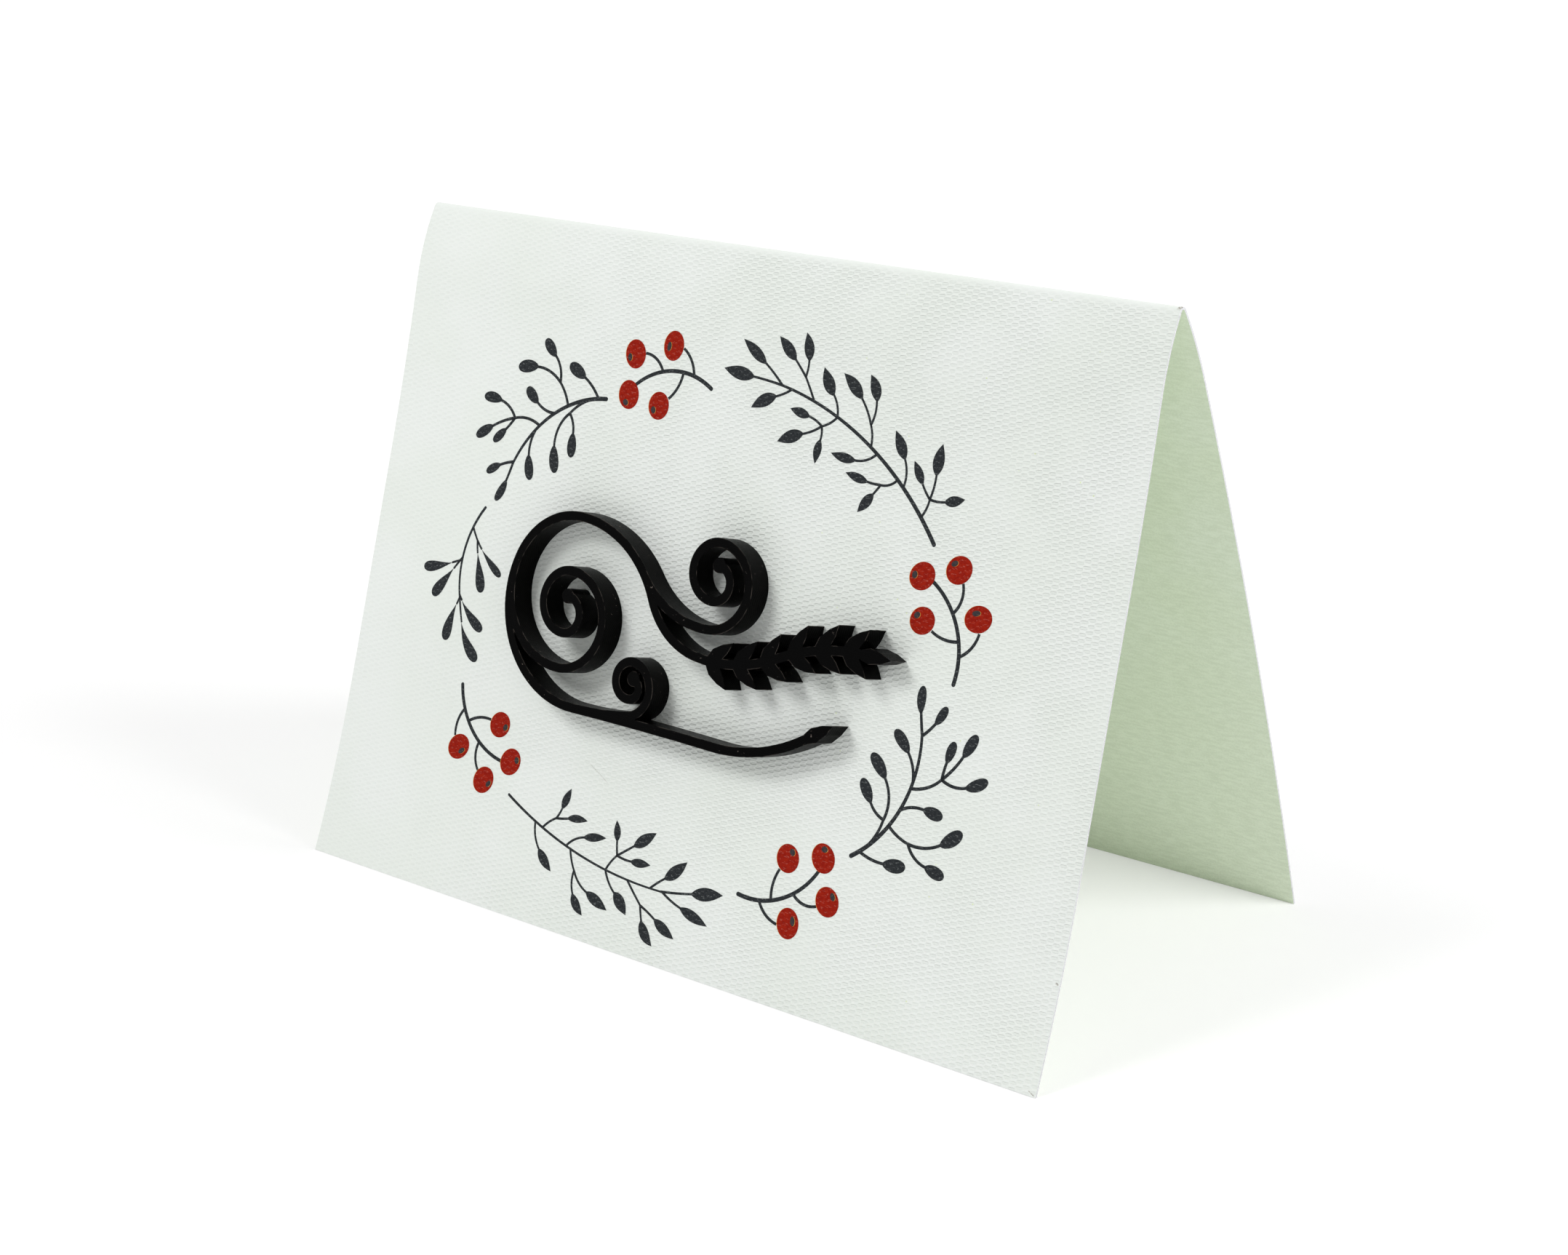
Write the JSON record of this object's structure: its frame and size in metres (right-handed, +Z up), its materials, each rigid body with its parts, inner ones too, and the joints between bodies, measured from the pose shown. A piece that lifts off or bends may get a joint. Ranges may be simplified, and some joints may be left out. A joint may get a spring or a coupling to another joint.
{
  "type": "greeting card",
  "caption": "Folded greeting card standing like a tent, with a raised black scroll ornament inside a printed wreath of sprigs and red berries.",
  "frame": {"origin": "centre of the card's footprint, on the surface it stands on", "axes": "+X along the fold, to the right as the front is seen; +Y from the front panel towards the rear one; +Z up"},
  "size_m": [0.1396, 0.0734, 0.1007],
  "materials": {
    "card_stock": "matte",
    "black_plastic": "satin",
    "dark_ink": "matte",
    "red_ink": "matte"
  },
  "bodies": {
    "root": {"card_sheet": "card_stock", "raised_flourish": "black_plastic", "print_sprigs": "dark_ink", "print_berries": "red_ink", "print_berry_eyes": "dark_ink"}
  },
  "joints": []
}
